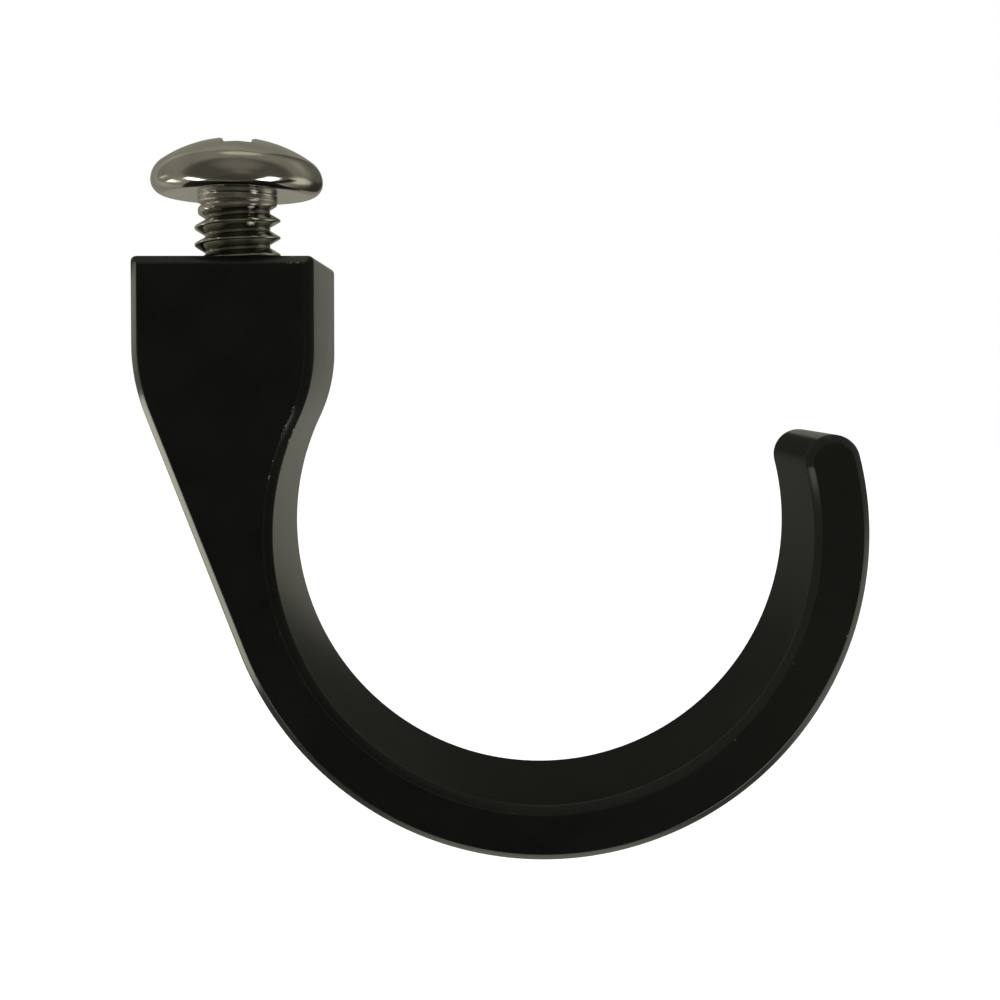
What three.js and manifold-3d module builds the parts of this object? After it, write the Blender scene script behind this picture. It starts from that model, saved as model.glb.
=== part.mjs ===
// Headphone hook: one piece milled from flat bar, with a screw in the top of its block.
// A desk edge or panel is clamped between the screw's head and the block's top face.
// Millimetres. +X points from the block towards the hook's mouth, +Y to its back, +Z up.
// The origin is on the screw's axis, in the plane of the block's top face.

import * as THREE from 'three';
import { mergeVertices } from 'three/addons/utils/BufferGeometryUtils.js';
import Module from 'manifold-3d';

const wasm = await Module();
wasm.setup();

// Hook body
const THICKNESS = 12.7; // front face to back face
const BLOCK_WIDTH = 12.85;
const INNER_RADIUS = 19.05; // the round that the headband rests in
const ARM_THICKNESS = 3.9;
const ARC_CENTRE = new THREE.Vector2(22.5, -19.7);
const TIP_ANGLE = 14.4; // degrees above horizontal where the arm's round end begins
const OUTER_BEND_RADIUS = 13.5; // bend from the block's outer side into the sloping back
const OUTER_BEND_TOP = -6.2;
const INNER_BEND_RADIUS = 11.6; // bend from the block's inner side into the round
const EDGE_CHAMFER = 0.55;
const ARC_STEP = 3; // degrees between the points of a curved outline

// Screw: 1/4 inch, 20 threads to the inch, right-handed, 1/2 inch long under the head
const PITCH = 1.27;
const CREST_RADIUS = 3.15;
const ROOT_RADIUS = 2.375;
const CREST_WIDTH = PITCH / 8;
const FLANK_ANGLE = 30; // degrees from square to the axis
const CREST_HEIGHT = 1.84; // height of one crest on the +X side, which sets the screw's turn
const TURN_SIDES = 24; // flat sides in one turn of the thread
const SHANK_LENGTH = 12.7;
const NECK_RADIUS = 2.92;
const NECK_LENGTH = 1.2; // under the head, where the crests are turned down to the neck's radius
const NECK_TAPER = 0.5; // length over which the crests come down to that radius
const PLAIN_LENGTH = 0.4; // under the head, with no thread cut in it
const POINT_CHAMFER = 0.85;

// Screw head
const HEAD_Z = 4.9; // underside of the head, and so the clamping gap
const HEAD_RADIUS = 6.28;
const HEAD_HEIGHT = 4.25;
const CROWN_RADIUS = 9.5;
const RIM_RADIUS = 1.05; // round at the lower edge, up to the head's widest level
const HEAD_SIDES = 36;
const HEAD_ARC_STEP = 11; // degrees between the points of the head's profile

// Cross recess
const RECESS_SPAN = 7;
const RECESS_FLOOR_SPAN = 3.8;
const RECESS_DEPTH = 3.1;
const RECESS_WING = 2;
const RECESS_CORE_TOP = 2;
const RECESS_CORE_FLOOR = 1.2;
const RECESS_TIP = 0.5;
const RECESS_TURN = 11; // degrees from +X to the nearest wing

// Tapped hole in the block
const THREAD_GAP = 0.2; // how far the hole's thread stands off the screw's
const TAPPED_DEPTH = 12.9;
const DRILLED_DEPTH = 13.6;
const DRILL_POINT_ANGLE = 59; // half the drill's point angle
const MOUTH_CHAMFER = 0.45;

const BLACK_ANODISED = { color: 0x191912, roughness: 0.42, metalness: 0.7 };
const STAINLESS_STEEL = { color: 0x9a9384, roughness: 0.2, metalness: 1 };

const point = (x, y) => new THREE.Vector2(x, y);
const radians = THREE.MathUtils.degToRad;

// Points along an arc from one angle to another, in degrees, both ends included.
function arc(centre, radius, from, to, step) {
  const count = Math.ceil(Math.abs(to - from) / step);
  const points = [];
  for (let i = 0; i <= count; i += 1) {
    const angle = radians(from + (to - from) * (i / count));
    points.push(point(centre.x + radius * Math.cos(angle), centre.y + radius * Math.sin(angle)));
  }
  return points;
}

function toSolid(geometry) {
  geometry.deleteAttribute('normal');
  geometry.deleteAttribute('uv');
  const merged = mergeVertices(geometry, 1e-5);
  return new wasm.Manifold(new wasm.Mesh({
    numProp: 3,
    vertProperties: merged.getAttribute('position').array,
    triVerts: Uint32Array.from(merged.index.array),
  }));
}

function toGeometry(solid) {
  const { vertProperties, triVerts } = solid.getMesh();
  const indexed = new THREE.BufferGeometry();
  indexed.setAttribute('position', new THREE.BufferAttribute(vertProperties, 3));
  indexed.setIndex(new THREE.BufferAttribute(triVerts, 1));
  const geometry = indexed.toNonIndexed();
  geometry.computeVertexNormals();
  return geometry;
}

// Solid of revolution about Z from (radius, height) points that run upwards between the axis.
function turned(profile, sides) {
  return toSolid(new THREE.LatheGeometry(profile, sides).rotateX(Math.PI / 2));
}

// Outline in X and Z, anticlockwise seen from the front.
function hookOutline() {
  const half = BLOCK_WIDTH / 2;
  const outerRadius = INNER_RADIUS + ARM_THICKNESS;

  // The sloping back is the line that touches the outer bend and the arm's outer arc.
  const outerBend = point(OUTER_BEND_RADIUS - half, OUTER_BEND_TOP);
  const between = ARC_CENTRE.clone().sub(outerBend);
  const lean = Math.acos((OUTER_BEND_RADIUS - outerRadius) / between.length());
  const slope = THREE.MathUtils.radToDeg(between.angle() - lean);

  // The inner bend touches both the block's side and the inner arc.
  const innerBendX = half - INNER_BEND_RADIUS;
  const reach = INNER_BEND_RADIUS + INNER_RADIUS;
  const drop = Math.sqrt(reach ** 2 - (ARC_CENTRE.x - innerBendX) ** 2);
  const innerBend = point(innerBendX, ARC_CENTRE.y + drop);
  const swing = THREE.MathUtils.radToDeg(Math.asin(drop / reach));

  const tip = point(INNER_RADIUS + ARM_THICKNESS / 2, 0);
  tip.rotateAround(point(0, 0), radians(TIP_ANGLE)).add(ARC_CENTRE);

  return [
    point(-half, 0),
    ...arc(outerBend, OUTER_BEND_RADIUS, 180, slope, ARC_STEP),
    ...arc(ARC_CENTRE, outerRadius, slope, 360 + TIP_ANGLE, ARC_STEP),
    ...arc(tip, ARM_THICKNESS / 2, TIP_ANGLE, 180 + TIP_ANGLE, 4 * ARC_STEP).slice(1, -1),
    ...arc(ARC_CENTRE, INNER_RADIUS, 360 + TIP_ANGLE, 180 - swing, ARC_STEP),
    ...arc(innerBend, INNER_BEND_RADIUS, -swing, 0, ARC_STEP).slice(1),
    point(half, 0),
  ];
}

// The outline through the bar's thickness, with the front and back edges chamfered.
function hookBlank() {
  const geometry = new THREE.ExtrudeGeometry(new THREE.Shape(hookOutline()), {
    depth: THICKNESS - 2 * EDGE_CHAMFER,
    bevelEnabled: true,
    bevelThickness: EDGE_CHAMFER,
    bevelSize: EDGE_CHAMFER,
    bevelOffset: -EDGE_CHAMFER,
    bevelSegments: 1,
  });
  geometry.translate(0, 0, EDGE_CHAMFER - THICKNESS / 2);
  return toSolid(geometry.rotateX(Math.PI / 2));
}

// One pitch of the thread: heights from the start of a crest, and the radius at each.
function threadProfile() {
  const flank = (CREST_RADIUS - ROOT_RADIUS) * Math.tan(radians(FLANK_ANGLE));
  return [
    point(CREST_RADIUS, 0),
    point(CREST_RADIUS, CREST_WIDTH),
    point(ROOT_RADIUS, CREST_WIDTH + flank),
    point(ROOT_RADIUS, PITCH - flank),
  ];
}

// Threaded bar that covers at least the heights from bottom to top. Each column of points is
// the thread's profile at one angle, raised by the lead, so the last column meets the first
// one pitch further up. A fan to a point on the axis closes each end.
function threadedBar(growth, bottom, top) {
  const profile = threadProfile();
  const start = CREST_HEIGHT - CREST_WIDTH / 2;
  const base = start - PITCH * (Math.ceil((start - bottom) / PITCH) + 1);
  const turns = Math.ceil((top - base) / PITCH);
  const rows = turns * profile.length;
  const index = (column, row) => (column < TURN_SIDES
    ? column * (rows + 1) + row
    : row + profile.length);

  const positions = [];
  for (let column = 0; column < TURN_SIDES; column += 1) {
    const angle = (2 * Math.PI * column) / TURN_SIDES;
    for (let row = 0; row <= rows; row += 1) {
      const { x, y } = profile[row % profile.length];
      const lift = PITCH * (column / TURN_SIDES + Math.floor(row / profile.length));
      const radius = x + growth;
      positions.push(radius * Math.cos(angle), radius * Math.sin(angle), base + lift + y);
    }
  }
  const bottomCentre = positions.length / 3;
  positions.push(0, 0, base);
  positions.push(0, 0, base + PITCH * (turns + 1));

  const triangles = [];
  for (let column = 0; column < TURN_SIDES; column += 1) {
    const last = column === TURN_SIDES - 1 ? rows - profile.length : rows;
    for (let row = 0; row < last; row += 1) {
      const low = index(column, row);
      const high = index(column + 1, row + 1);
      triangles.push(low, index(column + 1, row), high, low, high, index(column, row + 1));
    }
  }

  const bottomRim = [];
  const topRim = [];
  for (let row = 0; row < profile.length; row += 1) {
    bottomRim.push(index(0, row));
  }
  for (let column = TURN_SIDES; column > 0; column -= 1) {
    bottomRim.push(index(column, 0));
  }
  for (let column = 0; column < TURN_SIDES; column += 1) {
    topRim.push(index(column, rows));
  }
  for (let row = rows - 1; row >= rows - profile.length; row -= 1) {
    topRim.push(index(TURN_SIDES - 1, row));
  }
  for (const [rim, centre] of [[bottomRim, bottomCentre], [topRim, bottomCentre + 1]]) {
    rim.forEach((corner, i) => triangles.push(corner, rim[(i + 1) % rim.length], centre));
  }

  const geometry = new THREE.BufferGeometry();
  geometry.setAttribute('position', new THREE.Float32BufferAttribute(positions, 3));
  geometry.setIndex(triangles);
  return toSolid(geometry);
}

// What the drill, tap and countersink take out of the block.
function tappedHole() {
  const drill = ROOT_RADIUS + THREAD_GAP;
  const thread = CREST_RADIUS + THREAD_GAP;
  const mouth = thread + MOUTH_CHAMFER / 2;
  const above = 1;
  const drilled = turned([
    point(0, -DRILLED_DEPTH - drill / Math.tan(radians(DRILL_POINT_ANGLE))),
    point(drill, -DRILLED_DEPTH),
    point(drill, drill - mouth),
    point(mouth, 0),
    point(mouth, above),
    point(0, above),
  ], TURN_SIDES);
  const tapped = turned([
    point(0, -TAPPED_DEPTH),
    point(drill, -TAPPED_DEPTH),
    point(thread, thread - drill - TAPPED_DEPTH),
    point(thread, above),
    point(0, above),
  ], TURN_SIDES);
  return drilled.add(threadedBar(THREAD_GAP, -TAPPED_DEPTH, above).intersect(tapped));
}

function hookBody() {
  return toGeometry(hookBlank().subtract(tappedHole()));
}

// Flat underside, rounded rim, and a crown that the shoulder's arc runs into.
function screwHead() {
  const level = HEAD_Z + RIM_RADIUS;
  const crown = point(0, HEAD_Z + HEAD_HEIGHT - CROWN_RADIUS);
  const rise = level - crown.y;
  const shoulder = (CROWN_RADIUS ** 2 - HEAD_RADIUS ** 2 - rise ** 2) / (2 * (CROWN_RADIUS - HEAD_RADIUS));
  const shoulderCentre = point(HEAD_RADIUS - shoulder, level);
  const joint = THREE.MathUtils.radToDeg(Math.atan2(rise, shoulderCentre.x));
  const plainEnd = HEAD_Z - PLAIN_LENGTH;
  return turned([
    point(0, plainEnd),
    point(NECK_RADIUS, plainEnd),
    point(NECK_RADIUS, HEAD_Z),
    ...arc(point(HEAD_RADIUS - RIM_RADIUS, level), RIM_RADIUS, -90, 0, 2 * HEAD_ARC_STEP),
    ...arc(shoulderCentre, shoulder, 0, joint, HEAD_ARC_STEP).slice(1),
    ...arc(crown, CROWN_RADIUS, joint, 90, HEAD_ARC_STEP / 2).slice(1, -1),
    point(0, HEAD_Z + HEAD_HEIGHT),
  ], HEAD_SIDES);
}

// Two crossed wings that narrow downwards, round a tapered core with a cone at its foot.
function crossRecess() {
  const above = 0.2;
  const slope = (RECESS_SPAN - RECESS_FLOOR_SPAN) / 2 / RECESS_DEPTH;
  const top = RECESS_SPAN / 2 + above * slope;
  const floor = RECESS_FLOOR_SPAN / 2;
  const wing = new THREE.ExtrudeGeometry(new THREE.Shape([
    point(-floor, -RECESS_DEPTH),
    point(floor, -RECESS_DEPTH),
    point(top, above),
    point(-top, above),
  ]), { depth: RECESS_WING, bevelEnabled: false });
  wing.translate(0, 0, -RECESS_WING / 2).rotateX(Math.PI / 2);
  wing.translate(0, 0, HEAD_Z + HEAD_HEIGHT).rotateZ(radians(RECESS_TURN));
  const crossing = wing.clone().rotateZ(Math.PI / 2);
  const surface = HEAD_Z + HEAD_HEIGHT;
  const core = turned([
    point(0, surface - RECESS_DEPTH - RECESS_TIP),
    point(RECESS_CORE_FLOOR, surface - RECESS_DEPTH),
    point(RECESS_CORE_TOP, surface + above),
    point(0, surface + above),
  ], TURN_SIDES);
  return toSolid(wing).add(toSolid(crossing)).add(core);
}

function screw() {
  const end = HEAD_Z - SHANK_LENGTH;
  const neckEnd = HEAD_Z - NECK_LENGTH;
  const top = HEAD_Z - PLAIN_LENGTH / 2;
  const envelope = turned([
    point(0, end),
    point(CREST_RADIUS - POINT_CHAMFER, end),
    point(CREST_RADIUS, end + POINT_CHAMFER),
    point(CREST_RADIUS, neckEnd - NECK_TAPER),
    point(NECK_RADIUS, neckEnd),
    point(NECK_RADIUS, top),
    point(0, top),
  ], TURN_SIDES);
  const thread = threadedBar(0, end, top).intersect(envelope);
  return toGeometry(thread.add(screwHead()).subtract(crossRecess()));
}

function part(name, geometry, finish) {
  const mesh = new THREE.Mesh(geometry, new THREE.MeshStandardMaterial(finish));
  mesh.name = name;
  return mesh;
}

const headphoneHook = new THREE.Group();
headphoneHook.add(part('hook_body', hookBody(), BLACK_ANODISED));
headphoneHook.add(part('clamp_screw', screw(), STAINLESS_STEEL));

export default headphoneHook;
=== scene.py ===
"""Looks of the headphone hook: a black anodised hook and a bright pan-head screw.

Metres, in the CAD frame: the origin is on the screw's axis in the plane of the block's top
face, +X points to the hook's mouth, +Y to its back and +Z up.
"""

import math

import bpy
from mathutils import Matrix, Vector
from mathutils.geometry import delaunay_2d_cdt

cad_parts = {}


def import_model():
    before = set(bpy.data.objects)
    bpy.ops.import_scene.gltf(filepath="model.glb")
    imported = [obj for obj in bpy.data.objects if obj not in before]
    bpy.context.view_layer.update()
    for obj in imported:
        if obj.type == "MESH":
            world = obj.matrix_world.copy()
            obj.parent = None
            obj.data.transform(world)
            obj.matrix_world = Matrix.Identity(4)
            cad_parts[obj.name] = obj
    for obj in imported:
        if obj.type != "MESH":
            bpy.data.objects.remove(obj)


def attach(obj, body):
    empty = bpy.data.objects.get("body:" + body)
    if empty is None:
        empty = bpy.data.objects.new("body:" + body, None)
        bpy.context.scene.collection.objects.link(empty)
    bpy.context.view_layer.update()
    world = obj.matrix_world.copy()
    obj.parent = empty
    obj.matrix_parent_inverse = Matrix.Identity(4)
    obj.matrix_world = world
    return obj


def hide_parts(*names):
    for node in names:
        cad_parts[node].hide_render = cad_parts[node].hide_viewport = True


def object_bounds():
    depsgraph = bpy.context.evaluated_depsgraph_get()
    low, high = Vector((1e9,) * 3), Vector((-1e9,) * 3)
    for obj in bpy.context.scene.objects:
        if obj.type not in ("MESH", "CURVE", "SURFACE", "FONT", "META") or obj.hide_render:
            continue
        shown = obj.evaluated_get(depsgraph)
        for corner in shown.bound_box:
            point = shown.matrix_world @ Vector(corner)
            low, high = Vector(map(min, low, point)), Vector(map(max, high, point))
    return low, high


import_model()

MM = 0.001

# Hook body
THICKNESS = 12.7 * MM
BLOCK_WIDTH = 12.85 * MM
INNER_RADIUS = 19.05 * MM
ARM_THICKNESS = 3.9 * MM
ARC_CENTRE = Vector((22.5, -19.7)) * MM
TIP_ANGLE = 14.4
OUTER_BEND_RADIUS = 13.5 * MM
OUTER_BEND_TOP = -6.2 * MM
INNER_BEND_RADIUS = 11.6 * MM
CORNER_RADIUS = 0.4 * MM  # round on the block's top corners
EDGE_CHAMFER = 0.55 * MM
EDGE_BREAK = 0.07 * MM  # how far the softened edge reaches on each side of a chamfer's border
SUPPORT = 0.12 * MM  # width of the flat strip that keeps the shading of big faces flat
BEND_STEP = 1.5  # degrees between two points of the outline's long curves
TIP_STEP = 6
CORNER_STEP = 15
SOFT_STEPS = 4  # bands in a softened edge

# Where the edges are worn: centre and reach in millimetres, and strength
SCUFFS = [
    ((4.6, -6.3, -12.6), 5, 0.13),
    ((3.5, -6.3, -19.8), 0.5, 0.3),
    ((3.9, -6.3, -24.7), 0.4, 0.3),
    ((4.2, 6.1, -14.5), 5, 0.1),
    ((5, -6.1, -0.2), 1, 0.25),
    ((41, 6.1, -18), 6, 0.1),
]

# Tapped hole
HOLE_GAP = 0.2 * MM
TAPPED_DEPTH = 12.9 * MM
DRILLED_DEPTH = 13.6 * MM
DRILL_POINT_ANGLE = 59
MOUTH_CHAMFER = 0.45 * MM
HOLE_ROW = 0.06 * MM  # height between two rows of the tapped wall

# Screw
PITCH = 1.27 * MM
CREST_RADIUS = 3.15 * MM
ROOT_RADIUS = 2.375 * MM
CREST_WIDTH = PITCH / 8
FLANK_ANGLE = 30
FLANK_WIDTH = (CREST_RADIUS - ROOT_RADIUS) * math.tan(math.radians(FLANK_ANGLE))
CREST_HEIGHT = 1.84 * MM  # where a crest crosses the +X side
THREAD_SOFTNESS = 0.09  # how rounded the thread's bends are, as a share of its depth
SHANK_LENGTH = 12.7 * MM
NECK_RADIUS = 2.92 * MM
NECK_LENGTH = 1.2 * MM
NECK_TAPER = 0.5 * MM
NECK_FILLET = 0.12 * MM
NECK_MIDDLE = 4.35 * MM  # height of the middle of the rougher stretch
RUN_OUT_START = 0.3 * MM  # height above the neck's lower end at which the thread gets shallower
PLAIN_LENGTH = 0.4 * MM  # stretch under the head that has no thread
CREST_ROUND = 0.16 * MM  # how much the last crests under the head are rounded
HEAD_Z = 4.9 * MM
HEAD_RADIUS = 6.28 * MM
HEAD_HEIGHT = 4.25 * MM
CROWN_RADIUS = 9.5 * MM
RIM_RADIUS = 1.05 * MM
POINT_CHAMFER = 0.85 * MM
COLUMNS = 144  # points round the screw and the hole
ROW = 0.04 * MM  # height between two rows of the screw's thread
FILLET_STEP = 18  # degrees between two points of the head's curves
RIM_STEP = 7.5
SHOULDER_STEP = 4
CROWN_STEP = 1.5
UNDERSIDE_STEPS = 4
SHARP_ANGLE = 35  # edges with a greater angle than this are shaded as sharp

# Cross recess
RECESS_SPAN = 7 * MM
RECESS_FLOOR_SPAN = 3.8 * MM
RECESS_DEPTH = 3.1 * MM
RECESS_WING = 2 * MM
RECESS_FLOOR_WING = 1.5 * MM
RECESS_TIP = 0.5 * MM
RECESS_LIP = 0.25 * MM
RECESS_TURN = 11  # degrees from +X to the nearest wing
# Rings down the rounded lip: what they add to the span and the wing, and how far they are sunk,
# both in lips, and the radius of the cross's inner corners
LIP_RINGS = [(2, 0, 0.4 * MM), (0.6, 0.3, 0.42 * MM), (0, 1, 0.45 * MM)]
RECESS_FLOOR_CORNER = 0.3 * MM
RECESS_STEPS = 4  # stretches along a wing's side and round an inner corner
CROWN_PATCH = 4.3 * MM  # radius of the part of the crown that the recess is cut in
CROWN_SPACING = 0.35 * MM  # distance between the points inside that part
MERGED = 1e-8  # corners of a face that are closer than this are one
TRIANGLE_MARGIN = 1e-9  # the same for the points of the crown's triangles


# ---------------------------------------------------------------- shapes in two dimensions

def polar(centre, radius, degrees):
    angle = math.radians(degrees)
    return Vector((centre[0] + radius * math.cos(angle), centre[1] + radius * math.sin(angle)))


def arc(centre, radius, start, end, step):
    """Points from one angle to another, in degrees, both ends included."""
    count = math.ceil(abs(end - start) / step)
    return [polar(centre, radius, start + (end - start) * i / count) for i in range(count + 1)]


def hook_outline(inset):
    """The hook's outline in X and Z, moved inwards by inset, with the same points every time."""
    half = BLOCK_WIDTH / 2
    outer = INNER_RADIUS + ARM_THICKNESS

    outer_bend = Vector((OUTER_BEND_RADIUS - half, OUTER_BEND_TOP))
    between = ARC_CENTRE - outer_bend
    lean = math.acos((OUTER_BEND_RADIUS - outer) / between.length)
    slope = 360 + math.degrees(math.atan2(between.y, between.x) - lean)

    reach = INNER_BEND_RADIUS + INNER_RADIUS
    bend_x = half - INNER_BEND_RADIUS
    drop = math.sqrt(reach ** 2 - (ARC_CENTRE.x - bend_x) ** 2)
    inner_bend = Vector((bend_x, ARC_CENTRE.y + drop))
    swing = math.degrees(math.asin(drop / reach))

    tip = polar(ARC_CENTRE, INNER_RADIUS + ARM_THICKNESS / 2, TIP_ANGLE)
    corner = max(CORNER_RADIUS, inset)  # a corner rounder than the inset stays round
    left = Vector((corner - half, -corner))
    right = Vector((half - corner, -corner))
    return (
        arc(left, corner - inset, 90, 180, CORNER_STEP)
        + arc(outer_bend, OUTER_BEND_RADIUS - inset, 180, slope, BEND_STEP)
        + arc(ARC_CENTRE, outer - inset, slope, 360 + TIP_ANGLE, BEND_STEP)
        + arc(tip, ARM_THICKNESS / 2 - inset, TIP_ANGLE, 180 + TIP_ANGLE, TIP_STEP)[1:-1]
        + arc(ARC_CENTRE, INNER_RADIUS + inset, 360 + TIP_ANGLE, 180 - swing, BEND_STEP)
        + arc(inner_bend, INNER_BEND_RADIUS - inset, -swing, 0, BEND_STEP)[1:]
        + arc(right, corner - inset, 0, 90, CORNER_STEP)
    )


def softened(start, corner, end):
    """A short curve from start to end that is pulled towards corner."""
    points = []
    for i in range(SOFT_STEPS + 1):
        t = i / SOFT_STEPS
        points.append(start * (1 - t) ** 2 + corner * 2 * t * (1 - t) + end * t ** 2)
    return points


def edge_section():
    """(inset, depth behind the front face) from the face, over the chamfer, to mid-thickness."""
    along = EDGE_BREAK / math.sqrt(2)
    chamfer = EDGE_CHAMFER
    face_edge = softened(Vector((chamfer + EDGE_BREAK, 0)), Vector((chamfer, 0)),
                         Vector((chamfer - along, along)))
    wall_edge = softened(Vector((along, chamfer - along)), Vector((0, chamfer)),
                         Vector((0, chamfer + EDGE_BREAK)))
    return (
        [Vector((chamfer + EDGE_BREAK + SUPPORT, 0))]
        + face_edge
        + wall_edge
        + [Vector((0, chamfer + EDGE_BREAK + SUPPORT)), Vector((0, THICKNESS / 2))]
    )


# ---------------------------------------------------------------- thread

def soft_clamp(value):
    """value held between 0 and 1, with both bends rounded off."""
    low = 0.5 * (value + math.sqrt(value ** 2 + THREAD_SOFTNESS ** 2))
    over = low - 1
    return low - 0.5 * (over + math.sqrt(over ** 2 + (THREAD_SOFTNESS / 2) ** 2))


def groove(angle, height):
    """How deep the thread is cut here, from 0 on a crest to 1 in a root."""
    turns = (height - CREST_HEIGHT) / PITCH - angle / (2 * math.pi)
    off_crest = abs(turns - round(turns)) * PITCH
    return soft_clamp((off_crest - CREST_WIDTH / 2) / FLANK_WIDTH)


def mix(a, b, share):
    return a + (b - a) * share


def least(a, b, softness):
    """The smaller of two lengths, with the bend between them rounded off."""
    return 0.5 * (a + b - math.sqrt((a - b) ** 2 + softness ** 2))


def ramp(value, low, high):
    """0 below low, 1 above high, and a smooth rise between them."""
    share = min(max((value - low) / (high - low), 0), 1)
    return share * share * (3 - 2 * share)


# ---------------------------------------------------------------- meshes

class Builder:
    """Collects vertices and faces, with a thread depth for each vertex."""

    def __init__(self):
        self.points = []
        self.grooves = []
        self.faces = []
        self.slots = []

    def add(self, x, y, z, cut=0.0):
        self.points.append((x, y, z))
        self.grooves.append(cut)
        return len(self.points) - 1

    def face(self, corners, slot=0):
        """Adds a face, without the corners that lie on each other."""
        kept = []
        for corner in corners:
            here = Vector(self.points[corner])
            if all((here - Vector(self.points[k])).length > MERGED for k in kept):
                kept.append(corner)
        if len(kept) > 2:
            self.faces.append(kept)
            self.slots.append(slot)

    def band(self, low, high, slot=0, closed=True):
        """Quads between two rows of as many vertices."""
        count = len(low)
        for i in range(count if closed else count - 1):
            after = (i + 1) % count
            self.face([low[i], low[after], high[after], high[i]], slot)

    def ring(self, radius_at, height, cut_at=None):
        row = []
        for i in range(COLUMNS):
            angle = 2 * math.pi * i / COLUMNS
            radius = radius_at(angle)
            cut = cut_at(angle) if cut_at else 0.0
            row.append(self.add(radius * math.cos(angle), radius * math.sin(angle), height, cut))
        return row

    def make(self, name, materials):
        mesh = bpy.data.meshes.new(name)
        mesh.from_pydata(self.points, [], self.faces)
        mesh.polygons.foreach_set("material_index", self.slots)
        cuts = mesh.attributes.new("groove", "FLOAT", "POINT")
        cuts.data.foreach_set("value", self.grooves)
        for material in materials:
            mesh.materials.append(material)
        mesh.validate()
        mesh.shade_smooth()
        mesh.set_sharp_from_angle(angle=math.radians(SHARP_ANGLE))
        piece = bpy.data.objects.new(name, mesh)
        bpy.context.scene.collection.objects.link(piece)
        return piece


def hole_rows(build):
    """Rows of the tapped hole's wall, from its mouth down, and the drill's point."""
    drill = ROOT_RADIUS + HOLE_GAP
    thread = CREST_RADIUS + HOLE_GAP
    mouth = thread + MOUTH_CHAMFER / 2
    run_out = thread - drill
    rows = []
    count = round(TAPPED_DEPTH / HOLE_ROW)
    for i in range(count + 1):
        height = -TAPPED_DEPTH * i / count
        fade = ramp(height, -TAPPED_DEPTH, run_out - TAPPED_DEPTH)
        chamfer = mouth + height

        def cut(angle):
            return groove(angle, height) if i else 1.0

        def radius(angle):
            tapped = mix(drill, mix(thread, drill, cut(angle)), fade)
            return max(tapped, chamfer)

        rows.append(build.ring(radius, height, cut))
    rows.append(build.ring(lambda angle: drill, -DRILLED_DEPTH))
    point_depth = DRILLED_DEPTH + drill / math.tan(math.radians(DRILL_POINT_ANGLE))
    return rows, build.add(0, 0, -point_depth)


def hook_mesh(materials):
    """The bar's outline swept over its edge section, with the hole let into the top face."""
    build = Builder()
    section = edge_section()
    front = [(p.x, p.y - THICKNESS / 2) for p in section]
    back = [(inset, -y) for inset, y in reversed(front[:-1])]
    rows = []
    for inset, y in front + back:
        rows.append([build.add(p.x, y, p.y) for p in hook_outline(inset)])

    middle = len(front) - 1
    last = len(rows) - 1
    # From either face: a support strip, a softened edge, the chamfer, and the other softened edge.
    first, second = 1, SOFT_STEPS + 2
    worn_bands = {*range(first, first + SOFT_STEPS), *range(second, second + SOFT_STEPS)}
    for i in range(last):
        flat_top = i in (middle - 1, middle)
        slot = 1 if min(i, last - 1 - i) in worn_bands else 0
        build.band(rows[i + 1], rows[i], slot, closed=not flat_top)

    wall, tip = hole_rows(build)
    mouth = wall[0]
    half = COLUMNS // 2
    # The outline starts at the top left and ends at the top right, so -1 is the right-hand end.
    near, mid, far = rows[middle - 1], rows[middle], rows[middle + 1]
    build.face([near[0], near[-1], mid[-1], mouth[0]] + mouth[:half - 1:-1] + [mid[0]])
    build.face([far[-1], far[0], mid[0]] + mouth[half::-1] + [mid[-1]])
    for upper, lower in zip(wall, wall[1:]):
        build.band(upper, lower)
    for i in range(COLUMNS):
        build.face([wall[-1][i], wall[-1][(i + 1) % COLUMNS], tip])

    build.face(list(rows[0]))
    build.face(list(reversed(rows[-1])))
    return build.make("hook_body_skin", materials)


def crown_height(radius):
    return HEAD_Z + HEAD_HEIGHT - CROWN_RADIUS + math.sqrt(CROWN_RADIUS ** 2 - radius ** 2)


def cross_outline(span, wing, fillet):
    """A cross of two wings, anticlockwise, with its four inner corners rounded."""
    reach, side = span / 2, wing / 2
    quarter = [Vector((reach, -side)), Vector((reach, 0)), Vector((reach, side))]
    for i in range(1, RECESS_STEPS):
        quarter.append(Vector((mix(reach, side + fillet, i / RECESS_STEPS), side)))
    quarter += [polar((side + fillet, side + fillet), fillet, 270 - 90 * i / RECESS_STEPS)
                for i in range(RECESS_STEPS + 1)]
    for i in range(RECESS_STEPS - 1, 0, -1):
        quarter.append(Vector((side, mix(reach, side + fillet, i / RECESS_STEPS))))
    points = []
    for turn in range(4):
        angle = math.radians(RECESS_TURN + 90 * turn)
        c, s = math.cos(angle), math.sin(angle)
        points += [Vector((c * p.x - s * p.y, s * p.x + c * p.y)) for p in quarter]
    return points


def in_cross(p, margin=0.0):
    """Whether p lies within the recess's lip, or nearer to it than margin."""
    turned = p.copy()
    turned.rotate(Matrix.Rotation(math.radians(-RECESS_TURN), 2))
    low, high = sorted((abs(turned.x), abs(turned.y)))
    grown = RECESS_LIP + margin
    return low < RECESS_WING / 2 + grown and high < RECESS_SPAN / 2 + grown


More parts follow.
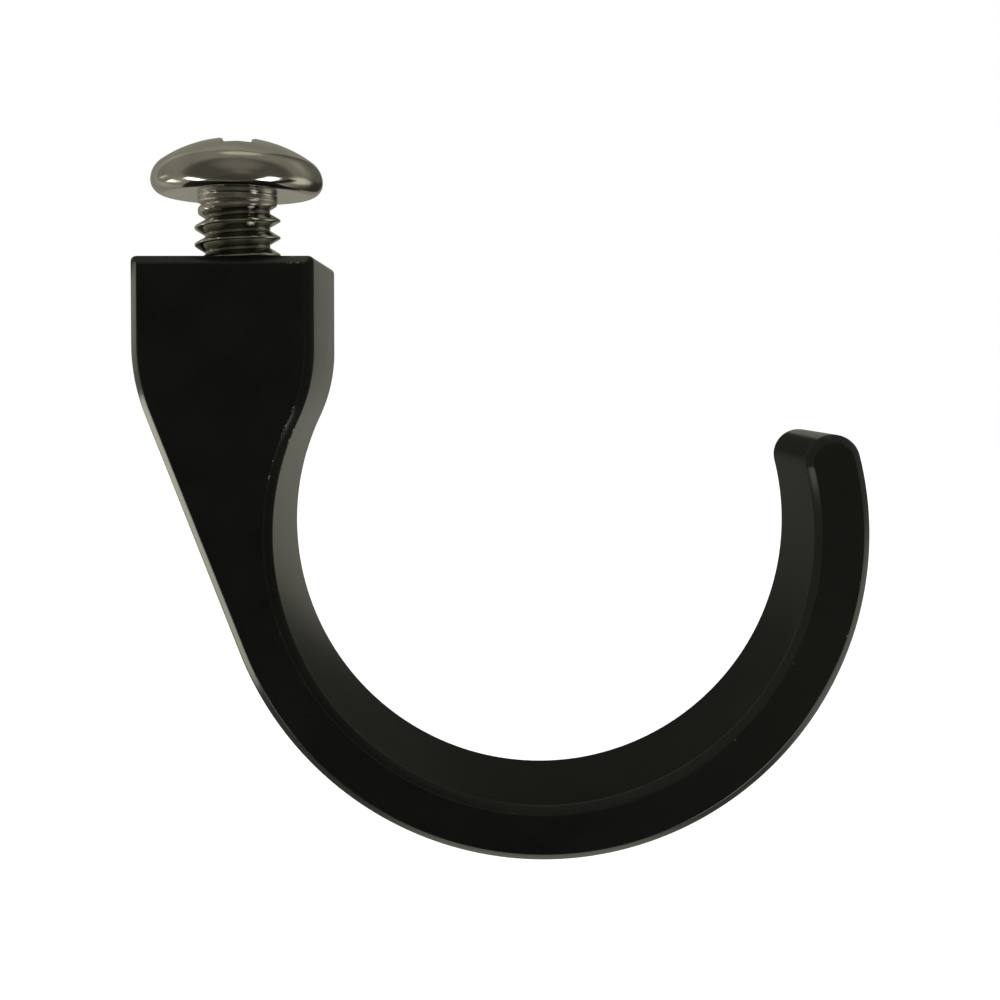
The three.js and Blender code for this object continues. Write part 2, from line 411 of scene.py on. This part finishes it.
def crown_with_recess(build, border):
    """Fills the crown inside border, round the cross recess, and sinks the recess in it."""
    rings = []
    for wider, sunk, corner in LIP_RINGS:
        grown = wider * RECESS_LIP
        outline = cross_outline(RECESS_SPAN + grown, RECESS_WING + grown, corner)
        rings.append((outline, sunk * RECESS_LIP))
    lip = rings[0][0]
    flat = [Vector(build.points[i][:2]) for i in border]
    inside = []
    count = int(CROWN_PATCH / CROWN_SPACING)
    for i in range(-count, count + 1):
        for j in range(-count, count + 1):
            p = Vector((i, j)) * CROWN_SPACING
            if p.length < CROWN_PATCH - CROWN_SPACING / 2 and not in_cross(p, CROWN_SPACING):
                inside.append(p)
    ring = list(range(len(flat)))
    hole = list(range(len(flat), len(flat) + len(lip)))
    loops = [(a, b) for loop in (ring, hole) for a, b in zip(loop, loop[1:] + loop[:1])]
    found = delaunay_2d_cdt(flat + lip + inside, loops, [], 0, TRIANGLE_MARGIN)
    made, triangles = found[0], found[2]
    placed = list(border)
    for p in made[len(flat):]:
        placed.append(build.add(p.x, p.y, crown_height(p.length)))

    for triangle in triangles:
        centre = sum((made[i] for i in triangle), Vector((0, 0))) / 3
        if not in_cross(centre) and centre.length < CROWN_PATCH:
            build.face([placed[i] for i in triangle])

    above = [placed[i] for i in hole]
    for outline, sink in rings[1:]:
        below = [build.add(p.x, p.y, crown_height(p.length) - sink) for p in outline]
        build.band(below, above)
        above = below
    bottom = HEAD_Z + HEAD_HEIGHT - RECESS_DEPTH
    floor_outline = cross_outline(RECESS_FLOOR_SPAN, RECESS_FLOOR_WING, RECESS_FLOOR_CORNER)
    below = [build.add(p.x, p.y, bottom) for p in floor_outline]
    build.band(below, above)
    point = build.add(0, 0, bottom - RECESS_TIP)
    for i, corner in enumerate(below):
        build.face([corner, below[(i + 1) % len(below)], point])


def head_profile():
    """(radius, height) from the neck over the underside, rim and shoulder to the crown's patch."""
    level = HEAD_Z + RIM_RADIUS
    crown_z = HEAD_Z + HEAD_HEIGHT - CROWN_RADIUS
    rise = level - crown_z
    squares = CROWN_RADIUS ** 2 - HEAD_RADIUS ** 2 - rise ** 2
    shoulder = squares / (2 * (CROWN_RADIUS - HEAD_RADIUS))  # meets the rim and the crown smoothly
    shoulder_x = HEAD_RADIUS - shoulder
    joint = math.degrees(math.atan2(rise, shoulder_x))
    patch = math.degrees(math.acos(CROWN_PATCH / CROWN_RADIUS))
    neck = (NECK_RADIUS + NECK_FILLET, HEAD_Z - NECK_FILLET)
    rim_x = HEAD_RADIUS - RIM_RADIUS
    flat = [Vector((mix(neck[0], rim_x, i / UNDERSIDE_STEPS), HEAD_Z))
            for i in range(1, UNDERSIDE_STEPS)]
    return (
        arc(neck, NECK_FILLET, 180, 90, FILLET_STEP)
        + flat
        + arc((rim_x, level), RIM_RADIUS, -90, 0, RIM_STEP)
        + arc((shoulder_x, level), shoulder, 0, joint, SHOULDER_STEP)[1:]
        + arc((0, crown_z), CROWN_RADIUS, joint, patch, CROWN_STEP)[1:]
    )


def screw_mesh(materials):
    """One skin from the screw's point to its crown. The thread is cut into the turned shank."""
    build = Builder()
    end = HEAD_Z - SHANK_LENGTH
    profile = head_profile()
    start_of_head = profile[0].y
    count = round((start_of_head - end) / ROW)
    neck_end = HEAD_Z - NECK_LENGTH
    run_out_start = neck_end + RUN_OUT_START
    rows = []
    for i in range(count):
        height = mix(end, start_of_head, i / count)
        turned = min(CREST_RADIUS - POINT_CHAMFER + (height - end), CREST_RADIUS)
        narrowing = ramp(height, neck_end - NECK_TAPER, neck_end)
        turned = min(turned, mix(CREST_RADIUS, NECK_RADIUS, narrowing))
        root = mix(ROOT_RADIUS, NECK_RADIUS, ramp(height, run_out_start, HEAD_Z - PLAIN_LENGTH))
        share = (CREST_RADIUS - root) / (CREST_RADIUS - ROOT_RADIUS)

        def cut(angle):
            return groove(angle, height) * share

        def radius(angle):
            thread = CREST_RADIUS - (CREST_RADIUS - ROOT_RADIUS) * groove(angle, height)
            return max(least(turned, thread, CREST_ROUND * narrowing), min(root, turned))

        rows.append(build.ring(radius, height, cut))
    for p in profile:
        rows.append(build.ring(lambda angle: p.x, p.y))
    for lower, upper in zip(rows, rows[1:]):
        build.band(lower, upper)
    build.face(list(reversed(rows[0])))
    crown_with_recess(build, rows[-1])
    return build.make("clamp_screw_skin", materials)


# ---------------------------------------------------------------- materials

# Noises: scale in 1/m, detail and roughness
MOTTLE = (260, 3, 0.55)
GRAIN = (5500, 3, 0.7)
SPECKS = (1900, 5, 0.75)
RINGS = (5200, 3, 0.6)
STREAKS = (900, 2, 0.5)
STAINS = (420, 4, 0.6)
SPECKLE = (40, 2, 0.5)

# Bumps: depth and strength
GRAIN_BUMP = (0.004 * MM, 0.4)
RING_BUMP = (0.002 * MM, 0.4)
STAIN_BUMP = (0.02 * MM, 0.5)

# Colour ramps: places along a noise or the thread's depth, and colours
DYE_STOPS = (0.35, 0.65)
STEEL = [(0.3, (0.47, 0.453, 0.415)), (0.72, (0.6, 0.583, 0.54))]
# Painted shade in the thread's roots: a multiplier on the steel's colour, set by the thread's depth
ROOT_SHADE = [(0.32, (1, 1, 1)), (0.8, (0.5, 0.5, 0.48))]

FACE_DYE = ((0.0002, 0.0004, 0.0002), (0.0022, 0.0024, 0.0019))
FACE_ROUGHNESS = (0.14, 0.19)
FACE_WEAR = 0.94  # how strong a speck has to be to show bare metal
EDGE_DYE = ((0.0010, 0.0010, 0.0008), (0.0045, 0.0045, 0.0036))
EDGE_ROUGHNESS = (0.16, 0.24)
EDGE_WEAR = 0.66
WEAR_BORDER = 0.03
BARE_METAL = (0.13, 0.124, 0.104, 1)
OXIDE_IOR = 1.5
STEEL_ROUGHNESS = (0.08, 0.2)
NECK_ROUGHNESS = 0.26  # how much rougher the steel is on the neck

FLOOR_WHITE = 0.97
FLOOR_MOTTLE = 0.985  # brightness of the floor's darker patches, as a share of its white
FLOOR_STOPS = (0.3, 0.7)
FLOOR_ROUGHNESS = 0.9


class Nodes:
    """Short forms for making and joining shader nodes."""

    def __init__(self, name):
        self.material = bpy.data.materials.new(name)
        self.material.use_nodes = True
        self.tree = self.material.node_tree
        self.shader = self.tree.nodes["Principled BSDF"]

    def new(self, kind, **values):
        node = self.tree.nodes.new(kind)
        for key, value in values.items():
            setattr(node, key, value)
        return node

    def link(self, source, target):
        self.tree.links.new(source, target)

    def place(self):
        """Object coordinates in metres."""
        return self.new("ShaderNodeTexCoord").outputs["Object"]

    def noise(self, vector, scale, detail, roughness):
        node = self.new("ShaderNodeTexNoise")
        node.inputs["Scale"].default_value = scale
        node.inputs["Detail"].default_value = detail
        node.inputs["Roughness"].default_value = roughness
        self.link(vector, node.inputs["Vector"])
        return node.outputs["Fac"]

    def add(self, one, other):
        node = self.new("ShaderNodeMath")
        self.link(one, node.inputs[0])
        self.link(other, node.inputs[1])
        return node.outputs["Value"]

    def near(self, vector, centre, reach, most):
        """most at centre, falling to 0 at reach from it."""
        away = self.new("ShaderNodeVectorMath", operation="DISTANCE")
        away.inputs[1].default_value = centre
        self.link(vector, away.inputs[0])
        node = self.new("ShaderNodeMapRange", interpolation_type="SMOOTHSTEP")
        node.inputs["From Max"].default_value = reach
        node.inputs["To Min"].default_value = most
        node.inputs["To Max"].default_value = 0
        self.link(away.outputs["Value"], node.inputs["Value"])
        return node.outputs["Result"]

    def mean(self, one, other):
        node = self.new("ShaderNodeMix")
        self.link(one, node.inputs["A"])
        self.link(other, node.inputs["B"])
        return node.outputs["Result"]

    def ramp(self, value, stops):
        node = self.new("ShaderNodeValToRGB")
        elements = node.color_ramp.elements
        while len(elements) < len(stops):
            elements.new(0.5)
        for element, (position, colour) in zip(elements, stops):
            element.position = position
            element.color = (*colour, 1)
        self.link(value, node.inputs["Fac"])
        return node.outputs["Color"]

    def between(self, value, low, high):
        """value from 0 to 1 stretched to run from low to high."""
        node = self.new("ShaderNodeMapRange")
        node.inputs["To Min"].default_value = low
        node.inputs["To Max"].default_value = high
        self.link(value, node.inputs["Value"])
        return node.outputs["Result"]

    def bump(self, height, distance, strength, before=None):
        node = self.new("ShaderNodeBump")
        node.inputs["Distance"].default_value = distance
        node.inputs["Strength"].default_value = strength
        self.link(height, node.inputs["Height"])
        if before:
            self.link(before, node.inputs["Normal"])
        return node.outputs["Normal"]


def anodised(name, dye, roughness, worn, scuffs=()):
    """Dyed black oxide on blasted aluminium: fine grain, faint mottling, and bare specks.

    A scuff is a place where the specks come closer: its centre, its reach and how strong it is.
    """
    n = Nodes(name)
    place = n.place()
    mottle = n.noise(place, *MOTTLE)
    grain = n.noise(place, *GRAIN)
    specks = n.noise(place, *SPECKS)
    colour = n.ramp(n.mean(mottle, grain), list(zip(DYE_STOPS, dye)))
    for centre, reach, strength in scuffs:
        specks = n.add(specks, n.near(place, Vector(centre) * MM, reach * MM, strength))
    bare = n.ramp(specks, [(worn, (0, 0, 0)), (worn + WEAR_BORDER, (1, 1, 1))])
    blend = n.new("ShaderNodeMix", data_type="RGBA")
    blend.inputs["B"].default_value = BARE_METAL
    n.link(bare, blend.inputs["Factor"])
    n.link(colour, blend.inputs["A"])
    n.link(blend.outputs["Result"], n.shader.inputs["Base Color"])
    n.link(n.between(mottle, *roughness), n.shader.inputs["Roughness"])
    n.link(n.bump(grain, *GRAIN_BUMP), n.shader.inputs["Normal"])
    n.shader.inputs["IOR"].default_value = OXIDE_IOR
    return n.material


def stainless():
    """Bright steel with fine rings round the axis, painted shade in the thread's roots, and rougher
    on the neck.
    """
    n = Nodes("stainless_steel")
    place = n.place()
    parts = n.new("ShaderNodeSeparateXYZ")
    n.link(place, parts.inputs["Vector"])
    across = n.new("ShaderNodeVectorMath", operation="MULTIPLY")
    across.inputs[1].default_value = (1, 1, 0)
    n.link(place, across.inputs[0])
    radius = n.new("ShaderNodeVectorMath", operation="LENGTH")
    n.link(across.outputs["Vector"], radius.inputs[0])
    turned = n.new("ShaderNodeCombineXYZ")
    n.link(radius.outputs["Value"], turned.inputs["X"])
    n.link(parts.outputs["Z"], turned.inputs["Y"])
    round_axis = turned.outputs["Vector"]
    rings = n.noise(round_axis, *RINGS)
    streaks = n.noise(round_axis, *STREAKS)
    stains = n.noise(place, *STAINS)

    steel = n.ramp(stains, STEEL)
    # Painted shade: the base colour is darkened towards the thread's roots, set by the thread's
    # depth
    cut = n.new("ShaderNodeAttribute", attribute_name="groove")
    root_shade = n.ramp(cut.outputs["Fac"], ROOT_SHADE)
    shaded = n.new("ShaderNodeMix", data_type="RGBA", blend_type="MULTIPLY")
    shaded.inputs["Factor"].default_value = 1
    n.link(steel, shaded.inputs["A"])
    n.link(root_shade, shaded.inputs["B"])
    n.link(shaded.outputs["Result"], n.shader.inputs["Base Color"])
    neck = n.near(round_axis, (NECK_RADIUS, NECK_MIDDLE, 0), NECK_LENGTH / 2, NECK_ROUGHNESS)
    n.link(n.add(n.between(streaks, *STEEL_ROUGHNESS), neck), n.shader.inputs["Roughness"])
    fine = n.bump(rings, *RING_BUMP)
    n.link(n.bump(stains, *STAIN_BUMP, fine), n.shader.inputs["Normal"])
    n.shader.inputs["Metallic"].default_value = 1.0
    return n.material


def pale_floor():
    n = Nodes("floor")
    light = (FLOOR_WHITE,) * 3
    dark = (FLOOR_WHITE * FLOOR_MOTTLE,) * 3
    colour = n.ramp(n.noise(n.place(), *SPECKLE), list(zip(FLOOR_STOPS, (light, dark))))
    n.link(colour, n.shader.inputs["Base Color"])
    n.shader.inputs["Roughness"].default_value = FLOOR_ROUGHNESS
    return n.material


# ---------------------------------------------------------------- stage, light and camera

EYE = Vector((19.93, -102.85, -8.85)) * MM
LENS = 49.8
SENSOR = 36
PITCH_DOWN = 1.57
YAW = -0.27
SHIFT = -0.08
CLIP_START = 5 * MM
FLOOR_BELOW = 120 * MM
FLOOR_SIDE = 3  # half the floor's width, in metres

# The room that the surfaces mirror: azimuth (0 in front, growing towards +X), elevation, spread
# and softness of the edge, in degrees, and how much brighter or darker than the rest it is.
ROOM = [
    (12, -8, 66, 20, -0.18),
    (12, 34, 4, 34, 0.1),
    (12, -62, 14, 26, -0.025),
    (16, -7, 4, 14, 0.08),
    (190, -9, 3, 9, 0.04),
    (137, 25, 12, 24, 0.12),
    (180, 5, 40, 30, -0.24),
    (110, -23, 8, 16, 0.6),
    (180, -72, 12, 16, 0.6),
    (180, 80, 6, 10, 0.4),
]
ROOM_BASE = 0.28
ROOM_LEAST = 0.03
EVEN_LIGHT = 1.3
TINT = (1, 0.98, 0.8)
HEAD_FRONT = Vector((0, -4.5, 5.5)) * MM

# Lamps: azimuth and elevation from the front of the head, width and height, all in degrees, and
# distance in metres
LAMPS = [
    ("left_box", (-69, -47), (9, 26), 0.1),
    ("right_box", (66, -46), (16, 32), 0.3),
]
LAMP_RADIANCE = 1
LAMP_TINT = (1, 0.99, 0.92)
LAMP_SPREAD = 70

# Cards: place, the way they face, width and height in millimetres, radiance, and spread in degrees
CARDS = [
    ("upper_strip", (-50, 6, -8), (1, -0.25, -0.2), (14, 24), 0.11, 50),
    ("lower_strip", (-50, 6, -41), (1, -0.25, 0.3), (14, 42), 0.45, 60),
    ("back_card", (-42, 50, 25), (0, -1, 0), (115, 170), 0.24, 180),
    ("tip_card", (49, 32, -10), (0, -1, 0), (10, 14), 0.2, 180),
]


def towards(azimuth, elevation):
    a, e = math.radians(azimuth), math.radians(elevation)
    return Vector((math.sin(a) * math.cos(e), -math.cos(a) * math.cos(e), math.sin(e)))


def camera():
    data = bpy.data.cameras.new("camera")
    data.lens = LENS
    data.sensor_width = SENSOR
    data.shift_y = SHIFT
    data.clip_start = CLIP_START
    eye = bpy.data.objects.new("camera", data)
    eye.location = EYE
    eye.rotation_euler = (math.radians(90 - PITCH_DOWN), 0, math.radians(-YAW))
    bpy.context.scene.collection.objects.link(eye)
    bpy.context.scene.camera = eye


def floor():
    mesh = bpy.data.meshes.new("floor")
    level = cad_low.z - FLOOR_BELOW
    signs = [(-1, -1), (1, -1), (1, 1), (-1, 1)]
    corners = [(x * FLOOR_SIDE, y * FLOOR_SIDE, level) for x, y in signs]
    mesh.from_pydata(corners, [], [(0, 1, 2, 3)])
    mesh.materials.append(pale_floor())
    plane = bpy.data.objects.new("floor", mesh)
    plane.visible_glossy = False
    bpy.context.scene.collection.objects.link(plane)


def softbox(name, place, facing, size, radiance, colour, spread):
    data = bpy.data.lights.new(name, "AREA")
    data.shape = "RECTANGLE"
    data.size, data.size_y = size
    data.energy = radiance * math.pi * data.size * data.size_y
    data.color = colour
    data.spread = math.radians(spread)
    box = bpy.data.objects.new(name, data)
    box.location = place
    box.rotation_euler = (-facing).to_track_quat("Z", "Y").to_euler()
    box.visible_camera = False
    bpy.context.scene.collection.objects.link(box)


def lights():
    for name, direction, angles, reach in LAMPS:
        size = [2 * reach * math.tan(math.radians(angle / 2)) for angle in angles]
        away = towards(*direction)
        softbox(name, HEAD_FRONT + away * reach, -away, size, LAMP_RADIANCE, LAMP_TINT, LAMP_SPREAD)
    for name, place, facing, size, radiance, spread in CARDS:
        size = [side * MM for side in size]
        softbox(name, Vector(place) * MM, Vector(facing), size, radiance, TINT, spread)


def world():
    """White to the eye, an even light on matte surfaces, and a dim warm room in reflections."""
    made = bpy.data.worlds.new("studio")
    made.use_nodes = True
    tree = made.node_tree
    nodes, links = tree.nodes, tree.links
    direction = nodes.new("ShaderNodeTexCoord").outputs["Generated"]
    total = None
    for azimuth, elevation, spread, softness, radiance in ROOM:
        dot = nodes.new("ShaderNodeVectorMath")
        dot.operation = "DOT_PRODUCT"
        dot.inputs[1].default_value = towards(azimuth, elevation)
        links.new(direction, dot.inputs[0])
        glow = nodes.new("ShaderNodeMapRange")
        glow.interpolation_type = "SMOOTHSTEP"
        glow.inputs["From Min"].default_value = math.cos(math.radians(spread + softness))
        glow.inputs["From Max"].default_value = math.cos(math.radians(spread))
        glow.inputs["To Max"].default_value = radiance
        links.new(dot.outputs["Value"], glow.inputs["Value"])
        add = nodes.new("ShaderNodeMath")
        add.inputs[1].default_value = ROOM_BASE
        if total:
            links.new(total, add.inputs[1])
        links.new(glow.outputs["Result"], add.inputs[0])
        total = add.outputs["Value"]
    held = nodes.new("ShaderNodeMath")
    held.operation = "MAXIMUM"
    held.inputs[1].default_value = ROOM_LEAST
    links.new(total, held.inputs[0])

    def background(colour, strength=None):
        node = nodes.new("ShaderNodeBackground")
        node.inputs["Color"].default_value = (*colour, 1)
        if strength:
            links.new(strength, node.inputs["Strength"])
        return node.outputs["Background"]

    def pick(fac, no, yes):
        node = nodes.new("ShaderNodeMixShader")
        links.new(fac, node.inputs["Fac"])
        links.new(no, node.inputs[1])
        links.new(yes, node.inputs[2])
        return node.outputs["Shader"]

    path = nodes.new("ShaderNodeLightPath")
    room = background(TINT, held.outputs["Value"])
    even = background((EVEN_LIGHT,) * 3)
    white = background((1, 1, 1))
    seen = pick(path.outputs["Is Diffuse Ray"], room, even)
    seen = pick(path.outputs["Is Camera Ray"], seen, white)
    links.new(seen, nodes["World Output"].inputs["Surface"])
    made.cycles.sampling_method = "NONE"
    bpy.context.scene.world = made


# ---------------------------------------------------------------- the scene

cad_low, cad_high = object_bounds()

camera()
floor()
world()
lights()

face = anodised("black_anodised", FACE_DYE, FACE_ROUGHNESS, FACE_WEAR)
edge = anodised("black_anodised_edge", EDGE_DYE, EDGE_ROUGHNESS, EDGE_WEAR, SCUFFS)
hook = hook_mesh([face, edge])
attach(hook, "hook")
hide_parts("hook_body")

screw = screw_mesh([stainless()])
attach(screw, "screw")
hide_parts("clamp_screw")

bpy.context.scene.view_settings.view_transform = "Standard"
